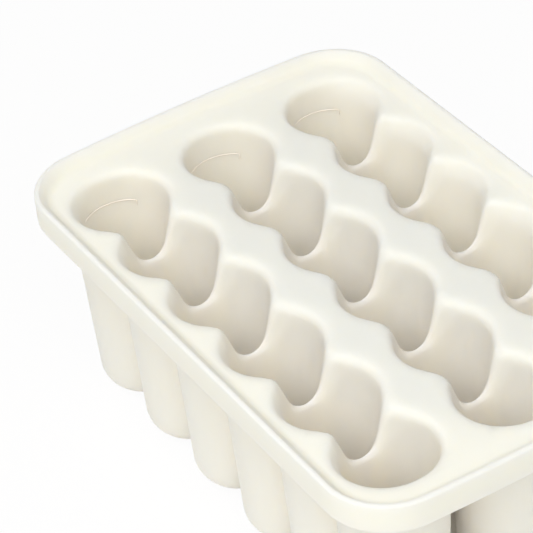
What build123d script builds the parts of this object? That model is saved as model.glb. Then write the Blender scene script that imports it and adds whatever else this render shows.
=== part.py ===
from build123d import *
import os
from math import cos, radians, sin, tan

os.makedirs("parts", exist_ok=True)

# Freezer tray moulded in silicone: three rows of six deep cups under one recessed deck.
# X runs along the rows, Y across them, Z up. The tray stands on its cups at Z = 0.

# ---- layout ----
ROWS = 3
COLUMNS = 6
CUP_PITCH = 23.5
ROW_PITCH = 31.8

# ---- cups ----
CUP_DEPTH = 59.3
CUP_OUTER_RADIUS = 14.1
CUP_OUTER_DRAFT = 2.6
CUP_BOTTOM_ROUND = 7.2
WELL_RADIUS = 11.7
WELL_DRAFT = 2.9
WELL_FLOOR = 2.3
WELL_BOTTOM_ROUND = 5.0

# ---- lowered partitions between the cups of a row ----
NOTCH_DEPTH = 12.0
NOTCH_BOTTOM_RADIUS = 4.8
NOTCH_LEAN = 20.0
NECK_HALF_LENGTH = 4.7
NECK_END_DEPTH = 24.0
NECK_END_RADIUS = 7.4
NECK_END_LEAN = 4.0

# ---- slope that draws the mouths of the outer rows out towards the long sides ----
FLARE_REACH = 2.3
FLARE_DEPTH = 4.0
FLARE_INSET = 0.3
FLARE_TURN = {1: 0, ROWS: 180}

# ---- deck and rim ----
DECK_THICKNESS = 2.5
MOUTH_ROUND = 2.2
RIM_LENGTH = 158.6
RIM_WIDTH = 104.8
RIM_CORNER_RADIUS = 16.9
END_BOW = 2.1
RIM_RISE = 3.0
RIM_FACE_HEIGHT = 8.2
LIP_WIDTH = 1.2
LIP_INNER_DRAFT = 40.0
LIP_FOOT_ROUND = 3.0
LIP_ROUND = 0.7
SKIRT_WALL = 2.4
SKIRT_ROUND = 0.7
RIM_BAND = 5.3

# ---- how far the hollows are cut past the top of the rim ----
CUT_CLEARANCE = 1.0

# ---- heights above the surface that the tray stands on ----
DECK_Z = CUP_DEPTH
SPLIT_Z = DECK_Z - DECK_THICKNESS
RIM_TOP_Z = DECK_Z + RIM_RISE
SKIRT_Z = RIM_TOP_Z - RIM_FACE_HEIGHT
CUT_TOP_Z = RIM_TOP_Z + CUT_CLEARANCE


def cup_x(column):
    """X of the cup axis in a column counted from 1."""
    return (column - (COLUMNS + 1) / 2) * CUP_PITCH


def row_y(row):
    """Y of a row axis, counted from 1 on the -Y side."""
    return (row - (ROWS + 1) / 2) * ROW_PITCH


def tapered_profile(radius, draft, bottom_z, top_z, bottom_round):
    """Half section of a drafted round cup: flat bottom, rounded corner, conical wall."""
    bottom_radius = radius - tan(radians(draft)) * (DECK_Z - bottom_z)
    top_radius = radius + tan(radians(draft)) * (top_z - DECK_Z)
    with BuildSketch(Plane.XZ) as profile:
        with BuildLine():
            Polyline(
                (0, bottom_z),
                (bottom_radius, bottom_z),
                (top_radius, top_z),
                (0, top_z),
                close=True,
            )
        make_face()
        corner = profile.vertices().group_by(Axis.Y)[0].sort_by(Axis.X)[-1]
        fillet(corner, radius=bottom_round)
    return profile.sketch


def notch_section(x, depth, radius, lean):
    """Section of the gap over a partition: round bottom and two legs that lean outwards."""
    centre_z = DECK_Z - depth + radius
    foot_y = radius * cos(radians(lean))
    foot_z = centre_z - radius * sin(radians(lean))
    top_y = foot_y + tan(radians(lean)) * (CUT_TOP_Z - foot_z)
    with BuildSketch(Plane.YZ.offset(x)) as section:
        with BuildLine():
            CenterArc((0, centre_z), radius, 180 + lean, 180 - 2 * lean)
            Polyline(
                (foot_y, foot_z),
                (top_y, CUT_TOP_Z),
                (-top_y, CUT_TOP_Z),
                (-foot_y, foot_z),
            )
        make_face()
    return section.sketch


def rim_outline(inset, z):
    """Plan of the tray, inset by a distance: straight sides, bowed ends, round corners."""
    half_length = RIM_LENGTH / 2 - inset
    half_width = RIM_WIDTH / 2 - inset
    with BuildSketch(Plane.XY.offset(z)) as outline:
        with BuildLine():
            Line((-half_length, half_width), (half_length, half_width))
            ThreePointArc(
                (half_length, half_width), (half_length + END_BOW, 0), (half_length, -half_width)
            )
            Line((half_length, -half_width), (-half_length, -half_width))
            ThreePointArc(
                (-half_length, -half_width), (-half_length - END_BOW, 0), (-half_length, half_width)
            )
        make_face()
        fillet(outline.vertices(), radius=RIM_CORNER_RADIUS - inset)
    return outline.sketch


# ---- hollow of one cup, and the neck that joins two hollows ----
with BuildPart() as well:
    add(tapered_profile(WELL_RADIUS, WELL_DRAFT, WELL_FLOOR, CUT_TOP_Z, WELL_BOTTOM_ROUND))
    revolve(axis=Axis.Z)

with BuildPart() as neck:
    add(notch_section(-NECK_HALF_LENGTH, NECK_END_DEPTH, NECK_END_RADIUS, NECK_END_LEAN))
    add(notch_section(0, NOTCH_DEPTH, NOTCH_BOTTOM_RADIUS, NOTCH_LEAN))
    add(notch_section(NECK_HALF_LENGTH, NECK_END_DEPTH, NECK_END_RADIUS, NECK_END_LEAN))
    loft()

# ---- slope of one outer mouth: from the well's wall out to -Y at the deck ----
with BuildPart() as flare:
    for height in (-FLARE_DEPTH, CUT_CLEARANCE):
        reach = FLARE_REACH * (1 + height / FLARE_DEPTH) + FLARE_INSET
        radius = WELL_RADIUS + tan(radians(WELL_DRAFT)) * height - FLARE_INSET
        with BuildSketch(Plane.XY.offset(DECK_Z + height)):
            with Locations((0, -reach / 2)):
                SlotCenterToCenter(reach, 2 * radius, rotation=90)
    loft()

# ---- cup at the end of a row: closed on one side, lowered partition on the other ----
half_pitch = CUP_PITCH / 2
neck_on_right = neck.part.moved(Location((half_pitch, 0, 0)))
neck_on_left = neck.part.moved(Location((-half_pitch, 0, 0)))

with BuildPart() as end_cup:
    add(tapered_profile(CUP_OUTER_RADIUS, CUP_OUTER_DRAFT, 0, SPLIT_Z, CUP_BOTTOM_ROUND))
    revolve(axis=Axis.Z)
    split(bisect_by=Plane.YZ.offset(half_pitch), keep=Keep.BOTTOM)
    add(well.part, mode=Mode.SUBTRACT)
    add(neck_on_right, mode=Mode.SUBTRACT)

# ---- cup between two neighbours: lowered partitions on both sides ----
with BuildPart() as middle_cup:
    add(end_cup.part)
    split(bisect_by=Plane.YZ.offset(-half_pitch), keep=Keep.TOP)
    add(neck_on_left, mode=Mode.SUBTRACT)

# ---- the cups, one node each ----
for row in range(1, ROWS + 1):
    for column in range(1, COLUMNS + 1):
        is_middle = 1 < column < COLUMNS
        turn = 180 if column == COLUMNS else 0
        with BuildPart() as cup:
            with Locations(Location((cup_x(column), row_y(row), 0), (0, 0, turn))):
                add(middle_cup.part if is_middle else end_cup.part)
            if row in FLARE_TURN:
                with Locations(Location((cup_x(column), row_y(row), 0), (0, 0, FLARE_TURN[row]))):
                    add(flare.part, mode=Mode.SUBTRACT)
        cup.part.label = f"cup_r{row}_c{column}"
        export_step(cup.part, f"parts/{cup.part.label}.step")

# ---- deck: one panel for each row, with the row's scalloped mouth and its round edge ----
for row in range(1, ROWS + 1):
    with BuildPart() as deck:
        add(rim_outline(RIM_BAND, SPLIT_Z))
        extrude(amount=DECK_THICKNESS)
        if row > 1:
            split(bisect_by=Plane.XZ.offset(-row_y(row) + ROW_PITCH / 2), keep=Keep.BOTTOM)
        if row < ROWS:
            split(bisect_by=Plane.XZ.offset(-row_y(row) - ROW_PITCH / 2), keep=Keep.TOP)
        for column in range(1, COLUMNS + 1):
            place = Location((cup_x(column), row_y(row), 0))
            add(well.part.moved(place), mode=Mode.SUBTRACT)
            if row in FLARE_TURN:
                with Locations(Location((cup_x(column), row_y(row), 0), (0, 0, FLARE_TURN[row]))):
                    add(flare.part, mode=Mode.SUBTRACT)
            if column < COLUMNS:
                add(neck_on_right.moved(place), mode=Mode.SUBTRACT)
        floor_face = deck.faces().filter_by(Plane.XY).sort_by(Axis.Z)[-1]
        fillet(floor_face.inner_wires()[0].edges(), radius=MOUTH_ROUND)
    deck.part.label = f"deck_row_{row}"
    export_step(deck.part, f"parts/{deck.part.label}.step")

# ---- rim: raised lip round the deck and the skirt that hangs below it ----
with BuildPart() as rim:
    add(rim_outline(0, SKIRT_Z))
    extrude(amount=RIM_FACE_HEIGHT)
    add(rim_outline(LIP_WIDTH, RIM_TOP_Z))
    extrude(amount=-RIM_RISE, taper=LIP_INNER_DRAFT, mode=Mode.SUBTRACT)
    lip_foot = rim.faces().filter_by(Plane.XY).sort_by(Axis.Z)[1]
    fillet(lip_foot.edges(), radius=LIP_FOOT_ROUND)
    lip_top = rim.faces().filter_by(Plane.XY).sort_by(Axis.Z)[-1]
    fillet(lip_top.edges(), radius=LIP_ROUND)
    add(rim_outline(RIM_BAND, SKIRT_Z))
    extrude(amount=RIM_FACE_HEIGHT, mode=Mode.SUBTRACT)
    add(rim_outline(SKIRT_WALL, SKIRT_Z))
    extrude(amount=SPLIT_Z - SKIRT_Z, mode=Mode.SUBTRACT)
    skirt_edge = rim.faces().filter_by(Plane.XY).sort_by(Axis.Z)[0]
    fillet(skirt_edge.outer_wire().edges(), radius=SKIRT_ROUND)

rim.part.label = "rim"
export_step(rim.part, "parts/rim.step")
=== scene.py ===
import math

import bmesh
import bpy
import numpy as np
from bpy.props import FloatProperty, FloatVectorProperty, PointerProperty
from mathutils import Matrix, Vector


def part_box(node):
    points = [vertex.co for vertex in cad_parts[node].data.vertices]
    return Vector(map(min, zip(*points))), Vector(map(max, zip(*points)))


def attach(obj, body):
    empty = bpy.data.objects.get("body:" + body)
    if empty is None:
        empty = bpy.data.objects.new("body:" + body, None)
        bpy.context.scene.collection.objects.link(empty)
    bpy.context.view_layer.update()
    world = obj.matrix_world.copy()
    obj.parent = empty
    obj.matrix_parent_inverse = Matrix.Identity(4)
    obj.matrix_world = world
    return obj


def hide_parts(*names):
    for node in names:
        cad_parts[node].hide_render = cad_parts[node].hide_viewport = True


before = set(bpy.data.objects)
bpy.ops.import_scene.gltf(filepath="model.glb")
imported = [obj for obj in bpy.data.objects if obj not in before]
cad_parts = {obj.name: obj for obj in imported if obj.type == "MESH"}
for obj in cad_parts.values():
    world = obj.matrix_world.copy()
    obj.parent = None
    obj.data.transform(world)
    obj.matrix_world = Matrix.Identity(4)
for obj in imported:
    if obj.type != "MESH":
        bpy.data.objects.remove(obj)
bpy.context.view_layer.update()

bl_info = {
    "name": "Freezer tray",
    "version": (1, 0, 0),
    "blender": (4, 5, 0),
    "location": "View3D > Sidebar > Freezer tray",
    "description": "Silicone freezer tray with rows of deep cups that open into each other",
    "category": "Add Mesh",
}

MM = 0.001
RIM_LOW, RIM_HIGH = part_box("rim")
DECK_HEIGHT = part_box("deck_row_2")[1].z
DECK_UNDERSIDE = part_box("deck_row_2")[0].z

ROWS = 3
COLUMNS = 6

# Below, lengths are in millimetres, or in metres where the name ends in _M, and angles in
# degrees. Heights count from the deck's top face, and depths down from it.

# ---- rim: a lip round the deck, and a skirt that hangs below it ----
LIP_RISE = 3.0
LIP_WIDTH = 1.2
LIP_INNER_DRAFT = 40.0
LIP_FOOT_ROUND = 3.0
LIP_ROUND = 0.7
DECK_EDGE_INSET = 5.3
SKIRT_WALL = 2.4
SKIRT_FOOT_ROUND = 1.0
RIM_FACE_HEIGHTS = (-0.2, -2.4)

# ---- cups: the rounds at their feet, and the fillets where their outsides meet ----
CUP_OUTER_ROUND = 7.2
WELL_FLOOR = 2.3
WELL_ROUND = 5.0
CREASE_BLEND = 3.0
UNDERSIDE_BLEND = 1.3

# ---- lowered partitions: a gap shaped like a U with leaning legs ----
NOTCH_ROUND = 4.8
NOTCH_LEAN = 20.0
NECK_GAP = 2.6  # the gap is narrower than the well by at least this, on either side
CREST_BLEND = 1.5  # round between the crest's edge and the wells
EDGE_FADE = 0.8  # width over which the crest's round ends at the wells

# ---- mouths of the outer rows: drawn out towards the long sides, with a tighter edge ----
FLARE_REACH = 2.3
FLARE_DEPTH = 4.0
FLARE_BLEND = 1.5  # round where the slope begins on the well's wall
MOUTH_PINCH = 0.1  # share by which the mouth's round is smaller on that side

# ---- fill line on the end wall of each row's first well; angles run about its axis ----
FILL_DEPTH = 9.0
FILL_START = 137.0
FILL_END = 223.0
FILL_TICK = 1.7  # the short mark that hangs from the line's first end
FILL_LINE_RADIUS = 0.2
FILL_TIP_SHARE = 0.35  # how thick the line still is at its ends
FILL_SIDES = 10
FILL_STEPS = 32
TICK_STEPS = 6

# ---- mesh: how many rings a cup has, and where its edge has points ----
RING_COUNT_INSIDE = 34
RING_COUNT_OUTSIDE = 20
ROUND_STEPS = 6
ROW_STEPS = 12
RIM_STEP = 5.5
LEAST_RIM_STEPS = 6
CREST_STATIONS = (0.0, 0.8, 1.6, 2.5, 3.4, 4.3, 5.2, 6.2, 7.3, 8.6, 10.2, 12.0, 13.9)
STATION_GAP = 0.6  # places on an edge that are closer than this to its end are left out
PATH_GAP = 0.3  # the same for the bends of a cup's section
PATH_SAMPLES = 20
CORNER_WEIGHT = 5.0  # how strongly the rings crowd towards the bends
MERGE_GAP = 0.004
EDGE_TOLERANCE = 0.01

# ---- search for the surface, along rays from an eye above the well or along upright lines ----
HALVINGS = 50
EYE_HEIGHT = 6.0
NEAREST_SHARE = 0.25  # shares of the way from the eye to where the surface is expected
FARTHEST_SHARE = 2.2
INSIDE_HEIGHTS = (-40.0, 3.0)
OUTSIDE_HEIGHTS = (-80.0, -1.0)
OUTLINE_SEARCH = 200.0
LEAST_RADIUS = 0.01  # keeps the bearing defined on the well's axis

# ---- silicone: sizes of its patterns, and how it takes the light ----
CLOUD_SIZE = 38.0
HANDLED_SIZE = 14.0
GRAIN_SIZE = 0.45
GRAIN_HEIGHT = 0.04
GRAIN_STRENGTH = 0.12
NOISE_SPAN = (0.3, 0.7)  # values between which nearly all of a noise lies
SATIN_ROUGHNESS = (0.55, 0.66)
SILICONE_IOR = 1.41
SILICONE_SPECULAR = 0.3
SCATTER_DEPTH = 3.0
SCATTER_SHARES = (1.0, 0.95, 0.85)  # red, green and blue reach this share of that depth
PALE_SHARE = 1.005
WARM_SHARES = (0.99, 0.985, 0.97)

# ---- stage: paper, air and softboxes ----
PAPER_COLOUR = "#F7F6F4"
PAPER_FIBRE = 1.5
PAPER_FIBRE_HEIGHT = 0.05
PAPER_FIBRE_STRENGTH = 0.05
PAPER_GLOW = 0.93  # share of the paper that is plain white to the eye
FLOOR_GAP = 0.1
FLOOR_HALF_SIZE_M = 12.0
FLOOR_PARTS = 8
AIR_LIGHT = 0.37
LAMP_SIZE_M = 0.9
LAMP_DISTANCE_M = 1.1

# Each softbox: name, azimuth from +X, elevation, and power in watts.
LAMPS = (
    ("side_softbox", -90.0, 60.0, 4.4),
    ("front_softbox", -29.0, 46.0, 5.7),
)

# ---- camera: a long lens that looks down on a corner ----
CAMERA_AZIMUTH = -29.44
CAMERA_ELEVATION = 38.4
CAMERA_ROLL = -5.71
CAMERA_DISTANCE = 648.4
CAMERA_TARGET = (-12.48, -18.27)
CAMERA_LENS = 179.4
CAMERA_SENSOR = 36.0
CAMERA_CLIP_END_M = 20.0


# ---------------------------------------------------------------- sizes and colours


def linear(hex_colour):
    """Linear colour of an sRGB hex value such as #F2EEE4."""
    channels = [int(hex_colour[i : i + 2], 16) / 255 for i in (1, 3, 5)]
    return tuple(c / 12.92 if c <= 0.04045 else ((c + 0.055) / 1.055) ** 2.4 for c in channels)


class TraySizes(bpy.types.PropertyGroup):
    """Main sizes of the tray"""

    cup_pitch: FloatProperty(
        name="Cup pitch",
        description="Distance between neighbouring cups of a row",
        default=23.5 * MM,
        unit="LENGTH",
    )
    row_pitch: FloatProperty(
        name="Row pitch",
        description="Distance between the rows",
        default=31.8 * MM,
        unit="LENGTH",
    )
    cup_radius: FloatProperty(
        name="Cup radius",
        description="Outer radius of a cup at the deck",
        default=14.1 * MM,
        unit="LENGTH",
    )
    cup_draft: FloatProperty(
        name="Cup draft",
        description="Taper of the outside of a cup",
        default=math.radians(2.6),
        subtype="ANGLE",
        unit="ROTATION",
    )
    well_radius: FloatProperty(
        name="Well radius",
        description="Inner radius of a cup at the deck",
        default=11.7 * MM,
        unit="LENGTH",
    )
    well_draft: FloatProperty(
        name="Well draft",
        description="Taper of the inside of a cup",
        default=math.radians(2.9),
        subtype="ANGLE",
        unit="ROTATION",
    )
    notch_depth: FloatProperty(
        name="Partition drop",
        description="How far the partition between two cups lies below the deck",
        default=12.0 * MM,
        unit="LENGTH",
    )
    mouth_round: FloatProperty(
        name="Mouth rounding",
        description="Radius of the rounded edge where the deck turns down into a cup",
        default=2.4 * MM,
        unit="LENGTH",
    )
    corner_radius: FloatProperty(
        name="Corner radius",
        description="Radius of the tray's corners in plan",
        default=16.9 * MM,
        unit="LENGTH",
    )
    end_bow: FloatProperty(
        name="End bow",
        description="How far the short sides bulge at their middle",
        default=2.1 * MM,
        unit="LENGTH",
    )


class TrayColours(bpy.types.PropertyGroup):
    """Colours of the tray"""

    silicone: FloatVectorProperty(
        name="Silicone",
        description="Colour of the pigmented silicone",
        subtype="COLOR",
        size=3,
        default=linear("#FDF5EB"),
        min=0.0,
        max=1.0,
    )


def cup_centre(sizes, row, column):
    """Plan position of a cup's axis in millimetres; row and column count from 0."""
    x = (column - (COLUMNS - 1) / 2) * sizes.cup_pitch / MM
    y = (row - (ROWS - 1) / 2) * sizes.row_pitch / MM
    return x, y


# ---------------------------------------------------------------- outline of the tray


class Outline:
    """Plan of the tray in millimetres: straight long sides, bowed ends, round corners."""

    def __init__(self, half_length, half_width, corner_radius, bow):
        self.half_width = half_width
        self.corner = corner_radius
        self.bow_radius = (half_width**2 + bow**2) / (2 * bow)
        self.bow_centre = half_length + bow - self.bow_radius
        self.corner_y = half_width - corner_radius
        reach = math.sqrt((self.bow_radius - corner_radius) ** 2 - self.corner_y**2)
        self.corner_x = self.bow_centre + reach
        self.corner_start = math.atan2(self.corner_y, reach)

    def distance(self, x, y):
        """Distance outside the outline, negative inside, and the outward normal."""
        fold_x, fold_y = abs(x), abs(y)
        along, across = fold_x - self.corner_x, fold_y - self.corner_y
        angle = math.atan2(across, along)
        if self.corner_start < angle < math.pi / 2:
            length = math.hypot(along, across)
            gap, normal = length - self.corner, (along / length, across / length)
        else:
            end_x = fold_x - self.bow_centre
            length = math.hypot(end_x, fold_y)
            end_gap, side_gap = length - self.bow_radius, fold_y - self.half_width
            if side_gap > end_gap:
                gap, normal = side_gap, (0.0, 1.0)
            else:
                gap, normal = end_gap, (end_x / length, fold_y / length)
        return gap, (math.copysign(normal[0], x), math.copysign(normal[1], y))

    def reach_along(self, origin, direction, inset):
        """How far a ray from inside the tray runs before it meets the inset outline."""
        low, high = 0.0, OUTLINE_SEARCH
        for _ in range(HALVINGS):
            middle = (low + high) / 2
            x = origin[0] + direction[0] * middle
            y = origin[1] + direction[1] * middle
            if self.distance(x, y)[0] < -inset:
                low = middle
            else:
                high = middle
        return (low + high) / 2


# ---------------------------------------------------------------- surface functions


def soft_outer(radius, *gaps):
    """Outside of several faces at once, with their convex edge rounded."""
    total = sum(np.maximum(gap + radius, 0.0) ** 2 for gap in gaps)
    deep = np.minimum(np.maximum.reduce(np.broadcast_arrays(*gaps)) + radius, 0.0)
    return np.sqrt(total) - radius + deep


def soft_inner(radius, *gaps):
    """Outside of a union of shapes, with their concave edge filled."""
    total = sum(np.maximum(radius - gap, 0.0) ** 2 for gap in gaps)
    clear = np.maximum(np.minimum.reduce(np.broadcast_arrays(*gaps)) - radius, 0.0)
    return radius - np.sqrt(total) + clear


def rounded_edge(radius, cosine, top, wall):
    """Outside of a top and a wall at once, with a true fillet of this radius on their edge.

    The cosine is that of the angle between the two outward normals.
    """
    up, out = top + radius, wall + radius
    in_round = (up > out * cosine) & (out > up * cosine)
    square = (up**2 + out**2 - 2 * up * out * cosine) / (1 - cosine**2)
    return np.where(in_round, np.sqrt(np.maximum(square, 0.0)) - radius, np.maximum(top, wall))


def quarter_round(foot, floor, radius):
    """Points (radius, height) on the round between a flat floor and an upright wall."""
    points = []
    for step in range(1, ROUND_STEPS + 1):
        angle = math.radians(90 * step / ROUND_STEPS)
        points.append((foot + radius * math.sin(angle), floor + radius * (1 - math.cos(angle))))
    return points


class CupShape:
    """Inner and outer face of one cup, about its own axis, in millimetres."""

    def __init__(self, sizes, joined_left, joined_right, outward):
        self.half_pitch = sizes.cup_pitch / MM / 2
        self.depth = DECK_HEIGHT / MM
        self.slab = (DECK_HEIGHT - DECK_UNDERSIDE) / MM
        self.outer = sizes.cup_radius / MM
        self.outer_draft = math.tan(sizes.cup_draft)
        self.inner = sizes.well_radius / MM
        self.inner_draft = math.tan(sizes.well_draft)
        self.notch_depth = sizes.notch_depth / MM
        self.mouth_round = sizes.mouth_round / MM
        self.joined = {-1: joined_left, 1: joined_right}
        self.side = outward or 1
        self.flare_slope = abs(outward) * FLARE_REACH / FLARE_DEPTH

    def flare(self, z):
        """How far the mouth is drawn out at a height, and how steeply."""
        above = z + FLARE_DEPTH
        share = np.clip((above / FLARE_BLEND + 1) / 2, 0.0, 1.0)
        climb = np.where(above > FLARE_BLEND, above, FLARE_BLEND * share**2)
        return self.flare_slope * climb, self.flare_slope * share

    def well_radius(self, z):
        """Radius of the well at a height."""
        return self.inner + self.inner_draft * z

    def cup_radius(self, z):
        """Radius of the cup's outside at a height."""
        return self.outer + self.outer_draft * z

    def crest(self, y, z):
        """Nearest point of a partition's crest, which is a U with leaning legs.

        Gives the distance into the U, the crest's place across the row and the well's
        radius there, and how much the crest faces sideways.
        """
        lean = math.radians(NOTCH_LEAN)
        centre_z = NOTCH_ROUND - self.notch_depth
        across, up = np.abs(y), z - centre_z
        turn = np.arctan2(across, -up)
        on_arc = turn <= math.pi / 2 - lean
        out_y = np.where(on_arc, np.sin(turn), math.cos(lean))
        out_z = np.where(on_arc, -np.cos(turn), -math.sin(lean))
        climb = np.where(on_arc, 0.0, across * math.sin(lean) + up * math.cos(lean))
        opening = NOTCH_ROUND - (across * out_y + up * out_z)
        crest_y = NOTCH_ROUND * out_y + climb * math.sin(lean)
        crest_z = np.minimum(centre_z + NOTCH_ROUND * out_z + climb * math.cos(lean), 0.0)
        drawn = self.flare(crest_z)[0] * (y * self.side > 0)
        wall = self.well_radius(crest_z)
        return opening, np.minimum(crest_y - drawn, wall - NECK_GAP), wall, out_y

    def partition_edge(self, x, y, z):
        """Outside of a partition's rounded edge, and where that edge bounds the silicone.

        Its section is a full round that runs tangentially into the two wells beside it,
        up to the lines towards their axes.
        """
        opening, crest_y, wall, out_y = self.crest(y, z)
        half = self.half_pitch
        nose = (half**2 + crest_y**2 - wall**2) / (2 * (wall - crest_y))
        inward = opening + nose
        thickness = np.maximum(half - np.abs(x), 0.0)
        bearing = np.arctan2(crest_y + nose * out_y, half)
        beyond = inward * np.cos(bearing) - thickness * np.sin(bearing)
        return np.hypot(thickness, inward) - nose, beyond

    def inside_face(self, x, y, z):
        """Positive in the air above the tray or in a well, negative in the silicone."""
        drawn, slope = self.flare(z)
        across = y * self.side
        across = across - np.clip(across, 0.0, drawn)
        away = np.hypot(x, across)
        bearing = across / np.maximum(away, LEAST_RADIUS)
        outward = np.maximum(bearing, 0.0) * (self.flare_slope > 0)
        lean = np.arctan(self.inner_draft + slope * outward)
        wall = (self.well_radius(z) - away) * np.cos(lean)
        floor = z + self.depth - WELL_FLOOR
        hollow = soft_inner(WELL_ROUND, wall, floor)
        for side, joined in self.joined.items():
            if joined:
                edge, beyond = self.partition_edge(x, y, z)
                opened = soft_outer(CREST_BLEND, hollow, edge)
                share = np.clip(beyond / EDGE_FADE + 0.5, 0.0, 1.0) * (x * side > 0)
                hollow = hollow + (np.maximum(opened, hollow) - hollow) * share
        radius = self.mouth_round * (1 - MOUTH_PINCH * outward)
        return rounded_edge(radius, np.sin(lean), z, hollow)

    def outside_face(self, x, y, z):
        """Positive in the air below the tray, negative in the silicone or a well."""
        centres = [0.0]
        centres += [2 * side * self.half_pitch for side, joined in self.joined.items() if joined]
        cups = []
        for centre in centres:
            wall = np.hypot(x - centre, y) - self.cup_radius(z)
            cups.append(soft_outer(CUP_OUTER_ROUND, wall, -self.depth - z))
        return soft_inner(UNDERSIDE_BLEND, -self.slab - z, soft_inner(CREASE_BLEND, *cups))

    def inside_path(self, reach, edge_height):
        """Section of the well from the middle of its floor to the cell's edge."""
        floor = WELL_FLOOR - self.depth
        foot = self.well_radius(floor) - WELL_ROUND
        path = [(0.0, floor), (foot, floor), *quarter_round(foot, floor, WELL_ROUND)]
        return [*path, (self.well_radius(edge_height), edge_height), (reach, edge_height)]

    def outside_path(self, reach, edge_height):
        """Section of the cup's outside from the middle of its foot to the cell's edge."""
        foot = self.cup_radius(-self.depth) - CUP_OUTER_ROUND
        path = [(0.0, -self.depth), (foot, -self.depth)]
        for radius, height in quarter_round(foot, -self.depth, CUP_OUTER_ROUND):
            if radius < reach - PATH_GAP and height < edge_height - PATH_GAP:
                path.append((radius, height))
        shoulder = min(edge_height, -self.slab)
        if self.cup_radius(shoulder) < reach - PATH_GAP:
            path.append((self.cup_radius(shoulder), shoulder))
        return [*path, (reach, edge_height)]


def spread_along(path, count):
    """Points along a section, closer together near its corners."""
    points = np.array(path)
    dense, weight = [points[0]], [0.0]
    for start, end in zip(points[:-1], points[1:]):
        length = float(np.hypot(*(end - start)))
        for step in np.linspace(0, 1, PATH_SAMPLES + 1)[1:]:
            dense.append(start + (end - start) * step)
            near = min(step, 1 - step) * length
            weight.append((1 + CORNER_WEIGHT / (1 + near)) * length / PATH_SAMPLES)
    dense = np.array(dense)
    total = np.cumsum(weight)
    wanted = np.linspace(0, total[-1], count)
    return np.stack([np.interp(wanted, total, dense[:, axis]) for axis in (0, 1)], axis=1)


def height_at(face, x, y, low, high):
    """Height where a face function changes sign along an upright line."""
    low = np.full(len(x), low)
    high = np.full(len(x), high)
    sign = np.sign(face(x, y, high))
    for _ in range(HALVINGS):
        middle = (low + high) / 2
        same = np.sign(face(x, y, middle)) == sign
        high = np.where(same, middle, high)
        low = np.where(same, low, middle)
    return (low + high) / 2


def cast_rings(face, unit, reach, targets, sign_at_eye):
    """Moves each target along its ray from the eye on the cup's axis onto the face."""
    x = targets[:, :, 0] * unit[:, None, 0]
    y = targets[:, :, 0] * unit[:, None, 1]
    z = targets[:, :, 1] - EYE_HEIGHT
    low = np.full(x.shape, NEAREST_SHARE)
    high = np.minimum(FARTHEST_SHARE, reach[:, None] / targets[:, :, 0])
    for _ in range(HALVINGS):
        middle = (low + high) / 2
        before = face(x * middle, y * middle, z * middle + EYE_HEIGHT) * sign_at_eye > 0
        low = np.where(before, middle, low)
        high = np.where(before, high, middle)
    scale = (low + high) / 2
    return np.stack([x * scale, y * scale, z * scale + EYE_HEIGHT], axis=2)


# ---------------------------------------------------------------- mesh of the tray


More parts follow.
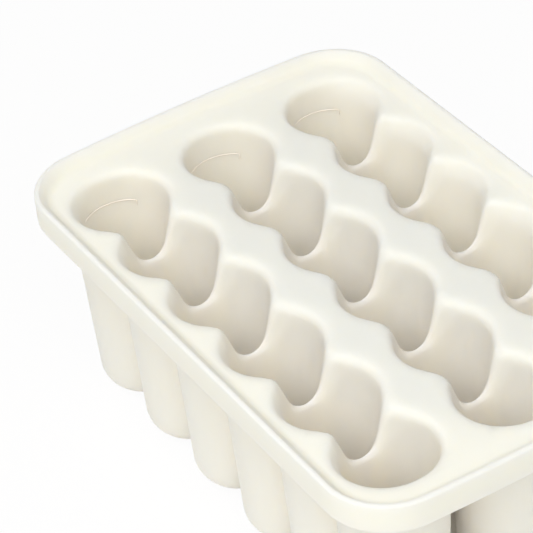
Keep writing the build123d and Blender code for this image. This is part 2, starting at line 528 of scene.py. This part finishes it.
class Cell:
    """One cup with its share of the deck, up to its neighbours or to the rim's foot."""

    def __init__(self, sizes, outline, row, column):
        self.centre = cup_centre(sizes, row, column)
        self.outline = outline
        self.half_x = sizes.cup_pitch / MM / 2
        self.half_y = sizes.row_pitch / MM / 2
        self.joined = {
            "left": column > 0,
            "right": column < COLUMNS - 1,
            "low": row > 0,
            "high": row < ROWS - 1,
        }
        outward = self.joined["low"] - self.joined["high"]
        self.shape = CupShape(sizes, self.joined["left"], self.joined["right"], outward)
        self.edge = self.edge_points()

    def stations_x(self):
        """Edge places along X for a side that a neighbouring row shares."""
        return [self.half_x * (2 * step / ROW_STEPS - 1) for step in range(ROW_STEPS + 1)]

    def stations_y(self):
        """Edge places along Y for a side that the next cup shares, close at the crest."""
        above = [*CREST_STATIONS, self.half_y]
        return [-value for value in above[:0:-1]] + above

    def corner(self, side_x, side_y):
        """Corner of the cell: where two shared sides meet, or a shared side and the rim."""
        joined_x = self.joined["right" if side_x > 0 else "left"]
        joined_y = self.joined["high" if side_y > 0 else "low"]
        x, y = side_x * self.half_x, side_y * self.half_y
        if joined_x and not joined_y:
            start = (self.centre[0] + x, self.centre[1])
            y = side_y * self.outline.reach_along(start, (0.0, side_y), DECK_EDGE_INSET)
        elif joined_y and not joined_x:
            start = (self.centre[0], self.centre[1] + y)
            x = side_x * self.outline.reach_along(start, (side_x, 0.0), DECK_EDGE_INSET)
        elif not joined_x and not joined_y:
            direction = (side_x * math.sqrt(0.5), side_y * math.sqrt(0.5))
            reach = self.outline.reach_along(self.centre, direction, DECK_EDGE_INSET)
            x, y = direction[0] * reach, direction[1] * reach
        return x, y

    def shared_side(self, first, last, along):
        """Edge points from one corner up to the next on a side that runs along an axis."""
        stations = self.stations_y() if along else self.stations_x()
        low, high = sorted((first[along], last[along]))
        inner = [s for s in stations if low + STATION_GAP < s < high - STATION_GAP]
        if first[along] > last[along]:
            inner.reverse()
        fixed = first[1 - along]
        return [first, *((fixed, s) if along else (s, fixed) for s in inner)]

    def rim_side(self, first, last):
        """Edge points from one corner up to the next on a side that meets the rim."""
        start, end = math.atan2(first[1], first[0]), math.atan2(last[1], last[0])
        if end < start:
            end += 2 * math.pi
        count = max(LEAST_RIM_STEPS, round((end - start) / math.radians(RIM_STEP)))
        points = []
        for step in range(count):
            angle = start + (end - start) * step / count
            direction = (math.cos(angle), math.sin(angle))
            reach = self.outline.reach_along(self.centre, direction, DECK_EDGE_INSET)
            points.append((direction[0] * reach, direction[1] * reach))
        return points

    def edge_points(self):
        """Edge of the cell, once round, about the cup's axis."""
        corners = [self.corner(1, -1), self.corner(1, 1), self.corner(-1, 1), self.corner(-1, -1)]
        points = []
        for index, name in enumerate(("right", "high", "left", "low")):
            first, last = corners[index], corners[(index + 1) % 4]
            if self.joined[name]:
                points += self.shared_side(first, last, int(name in ("left", "right")))
            else:
                points += self.rim_side(first, last)
        return np.array(points)

    def surface(self, inside):
        """Points of the well or of the cup's outside: middle, rings and edge."""
        shape = self.shape
        face = shape.inside_face if inside else shape.outside_face
        section = shape.inside_path if inside else shape.outside_path
        count = RING_COUNT_INSIDE if inside else RING_COUNT_OUTSIDE
        search = INSIDE_HEIGHTS if inside else OUTSIDE_HEIGHTS
        reach = np.hypot(self.edge[:, 0], self.edge[:, 1])
        unit = self.edge / reach[:, None]
        heights = height_at(face, self.edge[:, 0], self.edge[:, 1], *search)
        targets = np.array([spread_along(section(r, h), count) for r, h in zip(reach, heights)])
        rings = cast_rings(face, unit, reach, targets[:, 1:-1], 1.0 if inside else -1.0)
        edge = np.stack([self.edge[:, 0], self.edge[:, 1], heights], axis=1)
        middle_z = (WELL_FLOOR if inside else 0.0) - shape.depth
        return np.array([0.0, 0.0, middle_z]), rings, edge


def place(centre, point):
    """Point of a cell, in the tray's frame and in metres."""
    x, y, z = float(point[0]), float(point[1]), float(point[2])
    return ((centre[0] + x) * MM, (centre[1] + y) * MM, z * MM + DECK_HEIGHT)


def add_cell_surface(mesh, cell, inside):
    """Adds one face of a cup to the mesh as a fan of rings."""
    middle, rings, edge = cell.surface(inside)
    hub = mesh.verts.new(place(cell.centre, middle))
    spokes = []
    for spoke, end in zip(rings, edge):
        points = [*spoke, end]
        spokes.append([mesh.verts.new(place(cell.centre, point)) for point in points])
    for index, spoke in enumerate(spokes):
        following = spokes[(index + 1) % len(spokes)]
        corner = (hub, spoke[0], following[0])
        mesh.faces.new(corner if inside else corner[::-1])
        for ring in range(len(spoke) - 1):
            quad = (spoke[ring], spoke[ring + 1], following[ring + 1], following[ring])
            mesh.faces.new(quad if inside else quad[::-1])


def arc_section(centre, radius, start, end, steps):
    """Points (inset, height) on an arc of the rim's section, angles in degrees."""
    points = []
    for step in range(steps + 1):
        angle = math.radians(start + (end - start) * step / steps)
        points.append((centre[0] + radius * math.cos(angle), centre[1] + radius * math.sin(angle)))
    return points


def rim_section(slab):
    """Section of the rim as (inset from the outline, height), from deck top to underside."""
    draft = math.radians(LIP_INNER_DRAFT)
    rise = math.pi / 2 - draft
    inner_foot = LIP_WIDTH + LIP_RISE * math.tan(draft)
    foot = inner_foot + LIP_FOOT_ROUND * math.tan(rise / 2)
    lip_inner = LIP_WIDTH - LIP_ROUND * math.tan(rise / 2)
    skirt = LIP_RISE - (RIM_HIGH.z - RIM_LOW.z) / MM
    turn = math.degrees(rise)
    groove = SKIRT_WALL + SKIRT_FOOT_ROUND
    section = [(DECK_EDGE_INSET, 0.0)]
    lip_z, skirt_z, groove_z = LIP_RISE - LIP_ROUND, skirt + LIP_ROUND, -slab - SKIRT_FOOT_ROUND
    section += arc_section((foot, LIP_FOOT_ROUND), LIP_FOOT_ROUND, 270, 270 - turn, steps=8)
    section += arc_section((lip_inner, lip_z), LIP_ROUND, 90 - turn, 90, steps=5)
    section += arc_section((LIP_ROUND, lip_z), LIP_ROUND, 90, 180, steps=6)
    section += [(0.0, height) for height in RIM_FACE_HEIGHTS]
    section += arc_section((LIP_ROUND, skirt_z), LIP_ROUND, 180, 270, steps=6)
    section += arc_section((SKIRT_WALL - LIP_ROUND, skirt_z), LIP_ROUND, 270, 360, steps=5)
    section += arc_section((groove, groove_z), SKIRT_FOOT_ROUND, 180, 90, steps=5)
    section += [(DECK_EDGE_INSET, -slab)]
    return section


def rim_stations(cells):
    """Points round the deck's edge, in order, each with its outward normal."""
    found = {}
    for cell in cells:
        for x, y in cell.edge:
            world = (cell.centre[0] + x, cell.centre[1] + y)
            gap, normal = cell.outline.distance(*world)
            if abs(gap + DECK_EDGE_INSET) < EDGE_TOLERANCE:
                found[(round(world[0], 4), round(world[1], 4))] = (world, normal)
    return sorted(found.values(), key=lambda item: math.atan2(item[0][1], item[0][0]))


def add_rim(mesh, cells, slab):
    """Adds the lip, the outer face and the skirt round the deck."""
    section = rim_section(slab)
    loops = []
    for (x, y), normal in rim_stations(cells):
        loop = []
        for inset, height in section:
            out = DECK_EDGE_INSET - inset
            point = (x + normal[0] * out, y + normal[1] * out, height)
            loop.append(mesh.verts.new(place((0.0, 0.0), point)))
        loops.append(loop)
    for index, loop in enumerate(loops):
        following = loops[(index + 1) % len(loops)]
        for step in range(len(loop) - 1):
            mesh.faces.new((loop[step], loop[step + 1], following[step + 1], following[step]))


def tray_mesh(sizes):
    """Closed skin of the whole tray: 18 wells, 18 cup outsides, deck and rim."""
    bow = sizes.end_bow / MM
    half_length = (RIM_HIGH.x - RIM_LOW.x) / MM / 2 - bow
    half_width = (RIM_HIGH.y - RIM_LOW.y) / MM / 2
    outline = Outline(half_length, half_width, sizes.corner_radius / MM, bow)
    cells = [Cell(sizes, outline, row, column) for row in range(ROWS) for column in range(COLUMNS)]
    mesh = bmesh.new()
    for cell in cells:
        add_cell_surface(mesh, cell, inside=True)
        add_cell_surface(mesh, cell, inside=False)
    add_rim(mesh, cells, cells[0].shape.slab)
    bmesh.ops.remove_doubles(mesh, verts=mesh.verts, dist=MERGE_GAP * MM)
    bmesh.ops.recalc_face_normals(mesh, faces=mesh.faces)
    return mesh


def add_raised_line(mesh, path, sink):
    """Adds a fine round ridge along a path on a well's wall, half sunk in the silicone."""
    rings = []
    for index, point in enumerate(path):
        before, after = path[max(index - 1, 0)], path[min(index + 1, len(path) - 1)]
        along = (after - before).normalized()
        out = (sink - point) - along * (sink - point).dot(along)
        out.normalize()
        beside = along.cross(out)
        at_tip = index in (0, len(path) - 1)
        radius = FILL_LINE_RADIUS * (FILL_TIP_SHARE if at_tip else 1.0)
        ring = []
        for step in range(FILL_SIDES):
            angle = math.radians(360 * step / FILL_SIDES)
            offset = (out * math.cos(angle) + beside * math.sin(angle)) * radius
            ring.append(mesh.verts.new(tuple(c * MM for c in point + offset)))
        rings.append(ring)
    for ring, following in zip(rings, rings[1:]):
        for step in range(FILL_SIDES):
            turn = (step + 1) % FILL_SIDES
            mesh.faces.new((ring[step], ring[turn], following[turn], following[step]))
    mesh.faces.new(rings[0][::-1])
    mesh.faces.new(rings[-1])


def fill_line_mesh(sizes, row):
    """Ridge along the end wall of a row's first well, and the tick that hangs from it."""
    axis = Vector((*cup_centre(sizes, row, 0), DECK_HEIGHT / MM - FILL_DEPTH))
    radius = sizes.well_radius / MM - math.tan(sizes.well_draft) * FILL_DEPTH
    arc = []
    for step in range(FILL_STEPS + 1):
        angle = math.radians(FILL_START + (FILL_END - FILL_START) * step / FILL_STEPS)
        arc.append(axis + Vector((math.cos(angle), math.sin(angle), 0.0)) * radius)
    inward = math.tan(sizes.well_draft) * FILL_TICK
    foot = arc[0] + (axis - arc[0]).normalized() * inward - Vector((0.0, 0.0, FILL_TICK))
    tick = [arc[0].lerp(foot, step / TICK_STEPS) for step in range(TICK_STEPS + 1)]
    mesh = bmesh.new()
    add_raised_line(mesh, arc, axis)
    add_raised_line(mesh, tick, axis)
    return mesh


def make_object(name, mesh, material, smooth):
    """Turns a bmesh into an object of the scene, in one material."""
    for face in mesh.faces:
        face.smooth = smooth
    data = bpy.data.meshes.new(name)
    mesh.to_mesh(data)
    mesh.free()
    data.materials.append(material)
    thing = bpy.data.objects.new(name, data)
    bpy.context.collection.objects.link(thing)
    return thing


# ---------------------------------------------------------------- materials


def add_node(tree, kind, settings=None, links=None):
    """Adds a shader node, sets its properties and input values, and links its inputs."""
    node = tree.nodes.new(kind)
    for key, value in (settings or {}).items():
        if isinstance(key, int) or key in node.inputs:
            node.inputs[key].default_value = value
        else:
            setattr(node, key, value)
    for key, source in (links or {}).items():
        tree.links.new(source, node.inputs[key])
    return node


def empty_material(name):
    """New material without nodes, its node tree, and the object's coordinates in metres."""
    material = bpy.data.materials.new(name)
    material.use_nodes = True
    tree = material.node_tree
    tree.nodes.clear()
    return material, tree, add_node(tree, "ShaderNodeTexCoord").outputs["Object"]


def noise(tree, coordinates, size, detail, roughness):
    """Noise whose spots have a real size in millimetres."""
    settings = {"Scale": 1 / (size * MM), "Detail": detail, "Roughness": roughness}
    return add_node(tree, "ShaderNodeTexNoise", settings, {"Vector": coordinates}).outputs["Fac"]


def fine_relief(tree, height, strength, distance):
    """Normal of a surface with a fine relief; the distance is in millimetres."""
    settings = {"Strength": strength, "Distance": distance * MM}
    return add_node(tree, "ShaderNodeBump", settings, {"Height": height}).outputs["Normal"]


def cloudy_tint(tree, coordinates, colour):
    """Colour that drifts between a paler and a warmer shade, as mixed pigment does."""
    pale = tuple(min(1.0, c * PALE_SHARE) for c in colour)
    warm = tuple(c * share for c, share in zip(colour, WARM_SHARES))
    tint = add_node(
        tree,
        "ShaderNodeMix",
        {"data_type": "RGBA", "A": (*pale, 1.0), "B": (*warm, 1.0)},
        {"Factor": noise(tree, coordinates, CLOUD_SIZE, detail=2.0, roughness=0.45)},
    )
    return tint.outputs["Result"]


def handled_satin(tree, coordinates):
    """Roughness of a satin face that hands and washing have left a little uneven."""
    satin = add_node(
        tree,
        "ShaderNodeMapRange",
        {
            "From Min": NOISE_SPAN[0],
            "From Max": NOISE_SPAN[1],
            "To Min": SATIN_ROUGHNESS[0],
            "To Max": SATIN_ROUGHNESS[1],
        },
        {"Value": noise(tree, coordinates, HANDLED_SIZE, detail=4.0, roughness=0.6)},
    )
    return satin.outputs["Result"]


def moulded_silicone(name, colours, soak):
    """Platinum-cured silicone, compression moulded in a fine-blasted tool.

    It reads as a soft satin, cloudy ivory: light soaks in a few millimetres and comes
    back warmer, so thin edges glow and deep cups turn towards a warm beige. The last
    value is the share of light that soaks in: none on a fine ridge, which reads paler.
    """
    material, tree, coordinates = empty_material(name)
    grain = noise(tree, coordinates, GRAIN_SIZE, detail=3.0, roughness=0.6)
    shader = add_node(
        tree,
        "ShaderNodeBsdfPrincipled",
        {
            "IOR": SILICONE_IOR,
            "Specular IOR Level": SILICONE_SPECULAR,
            "Subsurface Weight": soak,
            "Subsurface Radius": SCATTER_SHARES,
            "Subsurface Scale": SCATTER_DEPTH * MM,
        },
        {
            "Base Color": cloudy_tint(tree, coordinates, colours.silicone),
            "Roughness": handled_satin(tree, coordinates),
            "Normal": fine_relief(tree, grain, GRAIN_STRENGTH, GRAIN_HEIGHT),
        },
    )
    add_node(tree, "ShaderNodeOutputMaterial", {}, {"Surface": shader.outputs["BSDF"]})
    return material


def seen_by_eye(tree):
    """One for rays from the camera, also by way of a reflection or a clear body, else zero."""
    path = add_node(tree, "ShaderNodeLightPath")
    seen = path.outputs["Is Camera Ray"]
    for name in ("Is Glossy Ray", "Is Transmission Ray"):
        either = add_node(
            tree, "ShaderNodeMath", {"operation": "MAXIMUM"}, {0: seen, 1: path.outputs[name]}
        )
        seen = either.outputs["Value"]
    return seen


def studio_paper():
    """Matt white background paper: white to the eye and the camera, shadows kept soft."""
    material, tree, coordinates = empty_material("paper_matt_white")
    fibre = noise(tree, coordinates, PAPER_FIBRE, detail=4.0, roughness=0.5)
    normal = fine_relief(tree, fibre, PAPER_FIBRE_STRENGTH, PAPER_FIBRE_HEIGHT)
    paper = add_node(
        tree, "ShaderNodeBsdfDiffuse", {"Color": (*linear(PAPER_COLOUR), 1.0)}, {"Normal": normal}
    )
    white = add_node(tree, "ShaderNodeEmission", {"Color": (1.0, 1.0, 1.0, 1.0), "Strength": 1.0})
    share = add_node(
        tree, "ShaderNodeMath", {"operation": "MULTIPLY", 1: PAPER_GLOW}, {0: seen_by_eye(tree)}
    )
    mixed = add_node(
        tree,
        "ShaderNodeMixShader",
        {},
        {0: share.outputs["Value"], 1: paper.outputs["BSDF"], 2: white.outputs["Emission"]},
    )
    add_node(tree, "ShaderNodeOutputMaterial", {}, {"Surface": mixed.outputs["Shader"]})
    return material


# ---------------------------------------------------------------- stage


def towards(azimuth, elevation):
    """Unit vector towards an azimuth from +X and an elevation, both in degrees."""
    turn, rise = math.radians(azimuth), math.radians(elevation)
    across = math.cos(rise)
    return Vector((across * math.cos(turn), across * math.sin(turn), math.sin(rise)))


def add_floor():
    """Wide sheet of paper just below the cups."""
    mesh = bmesh.new()
    bmesh.ops.create_grid(
        mesh, x_segments=FLOOR_PARTS, y_segments=FLOOR_PARTS, size=FLOOR_HALF_SIZE_M
    )
    bmesh.ops.translate(mesh, verts=mesh.verts, vec=(0.0, 0.0, -FLOOR_GAP * MM))
    make_object("paper_floor", mesh, studio_paper(), smooth=False)


def add_world(scene):
    """Even white air: full white to the eye, and a share of that as light on the tray."""
    world = bpy.data.worlds.new("studio_air")
    scene.world = world
    world.use_nodes = True
    tree = world.node_tree
    background = tree.nodes["Background"]
    background.inputs["Color"].default_value = (1.0, 1.0, 1.0, 1.0)
    strength = add_node(
        tree,
        "ShaderNodeMapRange",
        {"To Min": AIR_LIGHT, "To Max": 1.0},
        {"Value": seen_by_eye(tree)},
    )
    tree.links.new(strength.outputs["Result"], background.inputs["Strength"])


def add_lamp(name, azimuth, elevation, power):
    """Round softbox at arm's length, facing the tray."""
    lamp = bpy.data.lights.new(name, "AREA")
    lamp.shape = "DISK"
    lamp.size = LAMP_SIZE_M
    lamp.energy = power
    holder = bpy.data.objects.new(name, lamp)
    away = towards(azimuth, elevation)
    holder.location = away * LAMP_DISTANCE_M + Vector((0.0, 0.0, DECK_HEIGHT))
    holder.rotation_euler = (-away).to_track_quat("-Z", "Y").to_euler()
    bpy.context.collection.objects.link(holder)


def add_camera(scene):
    """Long lens, looking down on a corner of the tray."""
    back = towards(CAMERA_AZIMUTH, CAMERA_ELEVATION)
    target = Vector((CAMERA_TARGET[0] * MM, CAMERA_TARGET[1] * MM, DECK_HEIGHT))
    data = bpy.data.cameras.new("camera")
    data.lens = CAMERA_LENS
    data.sensor_width = CAMERA_SENSOR
    data.clip_end = CAMERA_CLIP_END_M
    camera = bpy.data.objects.new("camera", data)
    roll = Matrix.Rotation(math.radians(CAMERA_ROLL), 3, "Z")
    turn = (-back).to_track_quat("-Z", "Y").to_matrix() @ roll
    spot = target + back * CAMERA_DISTANCE * MM
    camera.matrix_world = Matrix.Translation(spot) @ turn.to_4x4()
    bpy.context.collection.objects.link(camera)
    scene.camera = camera
    scene.view_settings.view_transform = "Standard"


# ---------------------------------------------------------------- operators


class TRAY_OT_body(bpy.types.Operator):
    """Mould the tray: wells, deck, cups, rim and skirt in one continuous skin"""

    bl_idname = "tray.body"
    bl_label = "Silicone tray"

    def execute(self, context):
        skin = moulded_silicone("silicone_moulded_ivory", context.scene.tray_colours, soak=1.0)
        tray = make_object("tray_body", tray_mesh(context.scene.tray_sizes), skin, smooth=True)
        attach(tray, "root")
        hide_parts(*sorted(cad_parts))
        return {"FINISHED"}


class TRAY_OT_fill_lines(bpy.types.Operator):
    """Raise the fine fill line with its end tick in the first well of each row"""

    bl_idname = "tray.fill_lines"
    bl_label = "Fill lines"

    def execute(self, context):
        ridge = moulded_silicone("silicone_raised_line", context.scene.tray_colours, soak=0.0)
        for row in range(ROWS):
            mesh = fill_line_mesh(context.scene.tray_sizes, row)
            piece = make_object(f"fill_line_r{row + 1}", mesh, ridge, smooth=True)
            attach(piece, "root")
        return {"FINISHED"}


class TRAY_OT_stage(bpy.types.Operator):
    """Set up the paper floor, the soft lights and the camera"""

    bl_idname = "tray.stage"
    bl_label = "Studio"

    def execute(self, context):
        add_floor()
        add_world(context.scene)
        for lamp in LAMPS:
            add_lamp(*lamp)
        add_camera(context.scene)
        return {"FINISHED"}


class TRAY_PT_panel(bpy.types.Panel):
    """Sizes, colours and build steps of the tray"""

    bl_label = "Freezer tray"
    bl_idname = "TRAY_PT_panel"
    bl_space_type = "VIEW_3D"
    bl_region_type = "UI"
    bl_category = "Freezer tray"

    def draw(self, context):
        for group in (context.scene.tray_sizes, context.scene.tray_colours):
            for name in group.__annotations__:
                self.layout.prop(group, name)
        for operator in OPERATORS:
            self.layout.operator(operator.bl_idname)


GROUPS = (TraySizes, TrayColours)
OPERATORS = (TRAY_OT_body, TRAY_OT_fill_lines, TRAY_OT_stage)


def register():
    for kind in (*GROUPS, *OPERATORS, TRAY_PT_panel):
        bpy.utils.register_class(kind)
    bpy.types.Scene.tray_sizes = PointerProperty(type=TraySizes)
    bpy.types.Scene.tray_colours = PointerProperty(type=TrayColours)


def unregister():
    del bpy.types.Scene.tray_colours
    del bpy.types.Scene.tray_sizes
    for kind in reversed((*GROUPS, *OPERATORS, TRAY_PT_panel)):
        bpy.utils.unregister_class(kind)


def main():
    register()
    bpy.ops.tray.body()
    bpy.ops.tray.fill_lines()
    bpy.ops.tray.stage()


if __name__ == "__main__":
    main()
